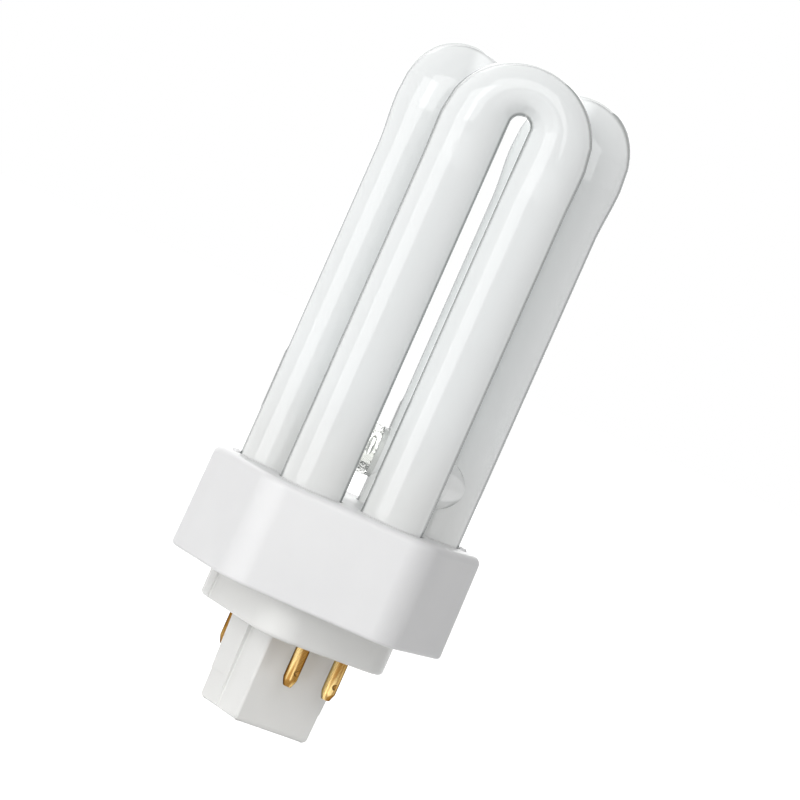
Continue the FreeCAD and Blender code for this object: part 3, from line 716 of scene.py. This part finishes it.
def spun_ring(outline, centre, axis, steps):
    """Spins a closed outline of points round an axis and merges the seam."""
    bpy.ops.object.select_all(action="DESELECT")
    bpy.ops.mesh.primitive_plane_add(size=MM, location=(0, 0, 0))
    ring = bpy.context.object
    bpy.ops.object.mode_set(mode="EDIT")
    bpy.ops.mesh.select_mode(type="VERT")
    bpy.ops.mesh.select_all(action="SELECT")
    bpy.ops.mesh.merge(type="CENTER")
    bpy.ops.transform.translate(value=outline[0])
    for here, there in zip(outline, outline[1:] + outline[:1]):
        bpy.ops.mesh.extrude_region_move(
            TRANSFORM_OT_translate={"value": Vector(there) - Vector(here)})
    bpy.ops.mesh.select_all(action="SELECT")
    bpy.ops.mesh.spin(steps=steps, angle=math.radians(360), center=centre, axis=axis)
    bpy.ops.mesh.select_all(action="SELECT")
    bpy.ops.mesh.remove_doubles(threshold=NEAR)
    bpy.ops.mesh.normals_make_consistent(inside=False)
    bpy.ops.object.mode_set(mode="OBJECT")
    return ring


def glass_drop(half_width, half_height, level):
    """A drop of melted glass on the side of the seam that faces the lamp's axis."""
    outside = BRIDGE_RADIUS + CLEAR_BULGE
    across = math.sqrt(outside ** 2 - (level * MM) ** 2)
    place = (LEG_X - across, 0, BRIDGE_HEIGHT + level * MM)
    bpy.ops.object.select_all(action="DESELECT")
    bpy.ops.mesh.primitive_uv_sphere_add(segments=32, ring_count=20, radius=MM, location=place,
                                         scale=(half_width, half_width, half_height))
    bpy.ops.object.transform_apply()
    return bpy.context.object


def seam(bulge, drops):
    """The ring of glass where two stubs meet, drawn for the place that faces +X."""
    outer = [(LEG_X, y * MM, BRIDGE_HEIGHT + BRIDGE_RADIUS + bulge * share)
             for y, share in SEAM_PROFILE]
    inner = [(LEG_X, y * MM, BRIDGE_HEIGHT + BRIDGE_RADIUS - SEAM_WALL)
             for y in (1.0, 0.0, -1.0)]
    ring = spun_ring(outer + inner, (LEG_X, 0, BRIDGE_HEIGHT), (0, 1, 0), 64)
    only(ring)
    bpy.ops.object.modifier_add(type="SUBSURF")
    ring.modifiers[-1].levels = ring.modifiers[-1].render_levels = 2
    bpy.ops.object.modifier_apply(modifier=ring.modifiers[-1].name)
    for half_width, half_height, level in drops:
        combine(ring, glass_drop(half_width, half_height, level), "UNION")
    return ring


SEAMS = [(CLEAR_BULGE, DROPS, seam_finish), (WHITE_BULGE, [], glass_finish)]
for number, (bulge, drops, finish) in enumerate(SEAMS, start=1):
    model = seam(bulge, drops)
    finish_piece(turned_copy(model, BRIDGE_ANGLES[number - 1]), "bridge_seam_%d" % number, finish,
                 "coated_glass")
    bpy.data.objects.remove(model)

# %% [markdown]
# The collar. In plan it is a hexagon with large round corners, and its walls lean in by less than
# a degree so that it leaves the mould. A block is cut to that plan with six leaning planes, its
# corners are bevelled, and a smaller block of the same form hollows it from below. At its foot the
# hollow is a little wider, as the seat of the cap's cover plate. Two low lugs stand on the top
# plate, and six sockets go through it, a quarter of a millimetre wider than the glass.

# %% The collar's plan
DRAFT = math.radians(0.8)
SIDE_REACH = LEG_X + TUBE_RADIUS + 3.13 * MM
FACET_REACH = LEG_X + TUBE_RADIUS + 4.93 * MM
CORNER_RADIUS = 6.2 * MM
CORNER_REACH = math.tan(math.radians(30))
COLLAR_WALL = 2.0 * MM
COLLAR_RIM = 1.4 * MM
COLLAR_PLATE = 1.8 * MM
COLLAR_TOP_EDGE, COLLAR_FOOT_EDGE = 1.4 * MM, 0.6 * MM
SOCKET_GAP = 0.25 * MM
LUG = (1.1 * MM, 2.2 * MM, 0.4 * MM)
LUG_CORNER, LUG_EDGE = 0.5 * MM, 0.2 * MM
LUG_ANGLES = (150, 330)


def six_sided(low, high, inset, draft):
    """A block with the collar's plan, drawn in by the inset, between two heights."""
    wide = 2 * FACET_REACH
    block = add_block((-wide, -wide, low), (wide, wide, high))
    bpy.ops.object.mode_set(mode="EDIT")
    for side in range(6):
        facing = math.radians(60 * side)
        reach = (FACET_REACH if side % 2 else SIDE_REACH) - inset
        out = Vector((math.cos(facing), math.sin(facing), 0))
        normal = out * math.cos(draft) + Vector((0, 0, math.sin(draft)))
        foot = out * reach + Vector((0, 0, COLLAR_FOOT))
        bpy.ops.mesh.select_all(action="SELECT")
        bpy.ops.mesh.bisect(plane_co=foot, plane_no=normal, use_fill=True, clear_outer=True,
                            threshold=NEAR)
    bpy.ops.object.mode_set(mode="OBJECT")
    round_edges(block, upright, (CORNER_RADIUS - inset) * CORNER_REACH, 14)
    return block


# %% Model the collar
def socket_lug():
    """A low lug on the top plate, at the outer side of a leg that stands on +X."""
    deep, wide, high = LUG
    start = LEG_PITCH + TUBE_RADIUS
    lug = add_block((start, -wide / 2, COLLAR_TOP - MM),
                    (start + SOCKET_GAP + deep, wide / 2, COLLAR_TOP + high))
    round_edges(lug, upright, LUG_CORNER, 5)
    round_edges(lug, at_height(COLLAR_TOP + high), LUG_EDGE, 4)
    return lug


def collar():
    """The hollow shell with its six sockets and two lugs."""
    shell = six_sided(COLLAR_FOOT, COLLAR_TOP, 0, DRAFT)
    round_edges(shell, at_height(COLLAR_TOP), COLLAR_TOP_EDGE, 7)
    round_edges(shell, at_height(COLLAR_FOOT), COLLAR_FOOT_EDGE, 4)
    hollow = six_sided(COLLAR_FOOT - MM, COLLAR_TOP - COLLAR_PLATE, COLLAR_WALL, DRAFT)
    combine(shell, hollow)
    combine(shell, six_sided(COLLAR_FOOT - MM, cap_high.z, COLLAR_RIM, 0))
    lug = socket_lug()
    for angle in LUG_ANGLES:
        combine(shell, turned_copy(lug, angle), "UNION")
    bpy.data.objects.remove(lug)
    for angle in LEG_ANGLES:
        out = math.radians(angle)
        centre = (LEG_PITCH * math.cos(out), LEG_PITCH * math.sin(out))
        combine(shell, add_rod(centre, TUBE_RADIUS + SOCKET_GAP, COLLAR_TOP - 2 * COLLAR_PLATE,
                               COLLAR_TOP + MM))
    return shell


finish_piece(collar(), "collar_shell", collar_finish, "collar_plastic", "collar")

# %% [markdown]
# The cap. One moulding again: a cover plate that closes the collar, a rounded square flange, and
# the long key post that goes into the lamp holder. Blocks with bevelled edges are joined, and the
# hollows, two notches, two keyways and two latch ramps are cut from them.

# %% The cap's sizes
FLANGE_HALF = (13.35 * MM, 14.25 * MM)
FLANGE_CORNER = 6.0 * MM
FLANGE_EDGE = 0.7 * MM
BEAD_HEIGHT, BEAD_PROUD = 0.45 * MM, 0.25 * MM
COVER_INSET = 1.5 * MM
CAP_WALL = 1.6 * MM
FLANGE_FLOOR = 1.8 * MM
POST_HALF = (7.5 * MM, 6.6 * MM)
POST_DRAFT = math.tan(math.radians(1.5))
POST_CORNER = 0.5 * MM
POST_END_EDGE = 1.0 * MM
POST_FLOOR = 1.8 * MM
NOTCH = (4.0 * MM, 7.4 * MM, 0.4 * MM)
NOTCH_CORNER = 0.3 * MM
KEYWAY = (-1.6 * MM, 0.6 * MM, 7.1 * MM)
KEYWAY_CORNER = 0.16 * MM
# The corners of a latch ramp, across the post and up from its end, in millimetres.
RAMP_PLAN = [(-0.9, 0.0), (8.0, 0.0), (8.0, 5.4), (2.0, 5.4), (-0.9, 1.2)]
RAMP_FLOOR = 7.3 * MM


def rounded_block(half_x, half_y, low, high, corner, draft=0.0):
    """An upright block with round corners. Draft makes it wider towards its top."""
    block = add_block((-half_x, -half_y, low), (half_x, half_y, high))
    if draft:
        flare = (high - low) * draft
        pick_edges(block, at_height(high))
        bpy.ops.transform.resize(value=((half_x + flare) / half_x, (half_y + flare) / half_y, 1),
                                 center_override=(0, 0, high))
        bpy.ops.object.mode_set(mode="OBJECT")
    round_edges(block, upright, corner, 10)
    return block


# %% Model the key post
def cut_both_sides(piece, tool):
    """Cuts a piece with a tool and with the same tool turned half round."""
    combine(piece, turned_copy(tool, 180))
    combine(piece, tool)


def key_post():
    """The post, with a keyway and a latch ramp on its two sides away from the pins."""
    post = rounded_block(*POST_HALF, POST_END, SEATING + FLANGE_FLOOR, POST_CORNER, POST_DRAFT)
    round_edges(post, at_height(POST_END), POST_END_EDGE, 6)
    cut_both_sides(post, keyway())
    cut_both_sides(post, latch_ramp())
    return post


def keyway():
    """A tool for the narrow slot that runs down one side of the post."""
    start, end, floor_x = KEYWAY
    slot = add_block((-2 * floor_x, start, POST_END - MM), (-floor_x, end, SEATING))
    round_edges(slot, lambda a, b: upright(a, b) and a.x > -1.5 * floor_x, KEYWAY_CORNER, 4)
    return slot


def latch_ramp():
    """A slanted step, drawn as an outline on the side of the post and extruded outwards."""
    bpy.ops.object.select_all(action="DESELECT")
    bpy.ops.mesh.primitive_circle_add(vertices=len(RAMP_PLAN), radius=MM, location=(0, 0, 0))
    ramp = bpy.context.object
    for point, (y, z) in zip(ramp.data.vertices, RAMP_PLAN):
        point.co = (-RAMP_FLOOR, y * MM, POST_END + z * MM)
    bpy.ops.object.mode_set(mode="EDIT")
    bpy.ops.mesh.select_all(action="SELECT")
    bpy.ops.mesh.edge_face_add()
    bpy.ops.mesh.extrude_region_move(TRANSFORM_OT_translate={"value": (-RAMP_FLOOR, 0, 0)})
    bpy.ops.mesh.select_all(action="SELECT")
    bpy.ops.mesh.normals_make_consistent(inside=False)
    bpy.ops.object.mode_set(mode="OBJECT")
    return ramp


# %% Model the cap
# The four pins of such a cap stand on a standard rectangle of 8 mm by 23 mm.
PIN_PLACES = [(-4, -11.5), (4, -11.5), (-4, 11.5), (4, 11.5)]
PIN_HOLE, BOSS, SHOULDER_SEAT = 1.4 * MM, 2.4 * MM, 2.0 * MM
BOSS_TOP = 3.2 * MM


def base_cap():
    """The cover plate, flange and key post, hollowed, with its pin holes."""
    half_x, half_y = FLANGE_HALF
    cap = rounded_block(half_x, half_y, SEATING, COLLAR_FOOT, FLANGE_CORNER)
    round_edges(cap, at_height(SEATING), FLANGE_EDGE, 5)
    combine(cap, rounded_block(half_x + BEAD_PROUD, half_y + BEAD_PROUD,
                               COLLAR_FOOT - BEAD_HEIGHT, COLLAR_FOOT + NEAR,
                               FLANGE_CORNER + BEAD_PROUD), "UNION")
    cover = six_sided(COLLAR_FOOT, cap_high.z, COVER_INSET, 0)
    combine(cap, cover, "UNION")
    combine(cap, key_post(), "UNION")
    notch_low, notch_high, notch_depth = NOTCH
    notch = add_block((-half_x - MM, notch_low, SEATING - MM),
                      (-half_x + notch_depth, notch_high, COLLAR_FOOT - BEAD_HEIGHT))
    round_edges(notch, lambda a, b: upright(a, b) and a.x > -half_x, NOTCH_CORNER, 5)
    cut_both_sides(cap, notch)
    combine(cap, rounded_block(half_x - CAP_WALL, half_y - CAP_WALL, FLANGE_FLOOR,
                               cap_high.z + MM, FLANGE_CORNER - CAP_WALL))
    combine(cap, rounded_block(POST_HALF[0] - CAP_WALL, POST_HALF[1] - CAP_WALL,
                               POST_END + POST_FLOOR, FLANGE_FLOOR + NEAR, POST_CORNER,
                               POST_DRAFT))
    for x, y in PIN_PLACES:
        combine(cap, add_rod((x * MM, y * MM), BOSS, FLANGE_FLOOR / 2, BOSS_TOP, 48), "UNION")
    for x, y in PIN_PLACES:
        combine(cap, add_rod((x * MM, y * MM), PIN_HOLE, SEATING - MM, BOSS_TOP + MM, 64))
        combine(cap, add_rod((x * MM, y * MM), SHOULDER_SEAT, BOSS_TOP, cap_high.z + MM, 48))
    return cap


finish_piece(base_cap(), "cap_with_key_post", cap_finish, "cap_plastic", "base_cap")

# %% [markdown]
# Pins. Each one is turned: a shaft with a tapered tip, a shoulder above the flange and a bore for
# its wire. Its half profile is drawn as points and spun, and then the two crimp dimples are pressed
# in with a small ball.

# %% Model the pins
# Radius and height of each point, in millimetres.
PIN_PROFILE = [(0.0, -6.9), (0.62, -6.9), (0.74, -6.8), (1.13, -5.75), (1.2, -5.5), (1.2, 0.0),
               (1.4, 0.0), (1.4, 3.2), (1.8, 3.2), (1.8, 3.9), (1.2, 3.9), (1.2, 4.4), (0.6, 4.4),
               (0.6, 1.0), (0.0, 1.0)]
PIN_RADIUS = 1.2 * MM
CRIMP_HEIGHT = -4.3 * MM
CRIMP_BALL = 0.62 * MM
CRIMP_DEPTH = 0.28 * MM


def contact_pin(x, y):
    """One pin at its place, given in millimetres."""
    outline = [(x * MM + radius * MM, y * MM, height * MM) for radius, height in PIN_PROFILE]
    pin = spun_ring(outline, (x * MM, y * MM, 0), (0, 0, 1), 64)
    for side in (-1, 1):
        bpy.ops.object.select_all(action="DESELECT")
        reach = PIN_RADIUS + CRIMP_BALL - CRIMP_DEPTH
        bpy.ops.mesh.primitive_uv_sphere_add(segments=24, ring_count=16, radius=CRIMP_BALL,
                                             location=(x * MM, y * MM + side * reach, CRIMP_HEIGHT))
        bpy.ops.object.transform_apply()
        combine(pin, bpy.context.object)
    return pin


for number, (x, y) in enumerate(PIN_PLACES, start=1):
    finish_piece(contact_pin(x, y), "brass_pin_%d" % number, brass_finish, "pin_brass",
                 "contact_pin_%d" % number)

# %% [markdown]
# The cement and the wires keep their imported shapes, which are right as they are, and only get
# their finishes.

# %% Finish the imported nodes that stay
def keep_node(name, material):
    """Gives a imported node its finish."""
    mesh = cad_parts[name].data
    mesh.materials.clear()
    mesh.materials.append(material)


keep_node("basing_cement", cement_finish)
for number in range(1, 5):
    keep_node("lead_wire_%d" % number, nickel_finish)

# %% [markdown]
# The stage. The photograph shows the lamp alone on pure white. Here it stands on its key post on a
# white floor. The floor looks white to the camera, in reflections and through glass, because it
# glows for those rays only, so that it still takes the lamp's soft shadow.

# %% Floor and world
def white_rays(tree):
    """One for the rays that see the surroundings: from the camera, in gloss and through glass."""
    path = add_node(tree, "LightPath")
    seen = add_node(tree, "Math", links={0: path.outputs["Is Camera Ray"],
                                         1: path.outputs["Is Glossy Ray"]}, operation="MAXIMUM")
    return add_node(tree, "Math", links={0: seen.outputs["Value"],
                                         1: path.outputs["Is Transmission Ray"]},
                    operation="MAXIMUM").outputs["Value"]


FLOOR_WHITE = "#F2F2F2"
FLOOR_GLOW = 0.86
FLOOR_SIZE = 6


def white_floor():
    """A dull white that looks pure white, and still takes a shadow."""
    material, tree = new_material("white_studio_floor")
    dull = add_node(tree, "BsdfDiffuse", {"Color": linear(FLOOR_WHITE)})
    glow = add_node(tree, "Emission", {"Color": (1, 1, 1, 1)})
    strength = add_node(tree, "Math", {1: FLOOR_GLOW}, {0: white_rays(tree)}, operation="MULTIPLY")
    tree.links.new(strength.outputs["Value"], glow.inputs["Strength"])
    both = add_node(tree, "AddShader", links={0: dull.outputs["BSDF"], 1: glow.outputs["Emission"]})
    show(tree, both.outputs["Shader"])
    return material


bpy.ops.object.select_all(action="DESELECT")
bpy.ops.mesh.primitive_plane_add(size=FLOOR_SIZE, location=(0, 0, POST_END))
floor = bpy.context.object
floor.name = "floor"
floor.data.materials.append(white_floor())

AMBIENT = 0.21
world = bpy.data.worlds.new("white_studio")
bpy.context.scene.world = world
world.use_nodes = True
sky = world.node_tree
background = next(node for node in sky.nodes if node.type == "BACKGROUND")
background.inputs["Color"].default_value = (1, 1, 1, 1)
level = add_node(sky, "MapRange", {"To Min": AMBIENT, "To Max": 1.0}, {"Value": white_rays(sky)})
sky.links.new(level.outputs["Result"], background.inputs["Strength"])

# %% [markdown]
# Camera and lamps. The camera is a long lens at the height of the tubes' middle, 33 degrees to the
# left of the near pair of pins, and it is rolled, because the photograph shows the lamp
# leaning. A softbox at the left gives the tubes their bright stripes. A wide one above the camera
# fills the front, too high for the upright legs to mirror it, and another behind keeps the far
# side light.

# %% Camera
CAMERA_PLACE = Vector((-343.1, -528.4, 63.2)) * MM
CAMERA_AIM = Vector((0.76, -0.5, 43.12)) * MM
CAMERA_ROLL = math.radians(23.9)
CAMERA_LENS = 170.35

camera_data = bpy.data.cameras.new("camera")
camera_data.lens = CAMERA_LENS
camera_data.sensor_width = 36.0
camera = bpy.data.objects.new("camera", camera_data)
bpy.context.scene.collection.objects.link(camera)
look = (CAMERA_AIM - CAMERA_PLACE).to_track_quat("-Z", "Y")
camera.rotation_mode = "QUATERNION"
camera.rotation_quaternion = look @ Quaternion((0, 0, 1), CAMERA_ROLL)
camera.location = CAMERA_PLACE
bpy.context.scene.camera = camera
bpy.context.scene.view_settings.view_transform = "Standard"

# %% Softboxes
LAMP_MIDDLE = Vector((0, 0, 45)) * MM
VIEW_BEARING = math.atan2(CAMERA_PLACE.y, CAMERA_PLACE.x)


def add_softbox(name, left, up, distance, width, height, power):
    """A softbox that faces the lamp, placed by its angle left of the camera and above it."""
    bearing, rise = VIEW_BEARING - math.radians(left), math.radians(up)
    out = Vector((math.cos(bearing) * math.cos(rise), math.sin(bearing) * math.cos(rise),
                  math.sin(rise)))
    data = bpy.data.lights.new(name, "AREA")
    data.shape = "RECTANGLE"
    data.size, data.size_y = width, height
    data.energy = power
    box = bpy.data.objects.new(name, data)
    bpy.context.scene.collection.objects.link(box)
    box.location = LAMP_MIDDLE + out * distance
    box.rotation_euler = (-out).to_track_quat("-Z", "Y").to_euler()


add_softbox("key_softbox", left=42, up=8, distance=0.6, width=0.5, height=0.54, power=1.6)
add_softbox("front_softbox", left=8, up=29, distance=0.9, width=1.0, height=0.8, power=4.0)
add_softbox("back_softbox", left=165, up=22, distance=0.9, width=0.8, height=0.8, power=3.4)
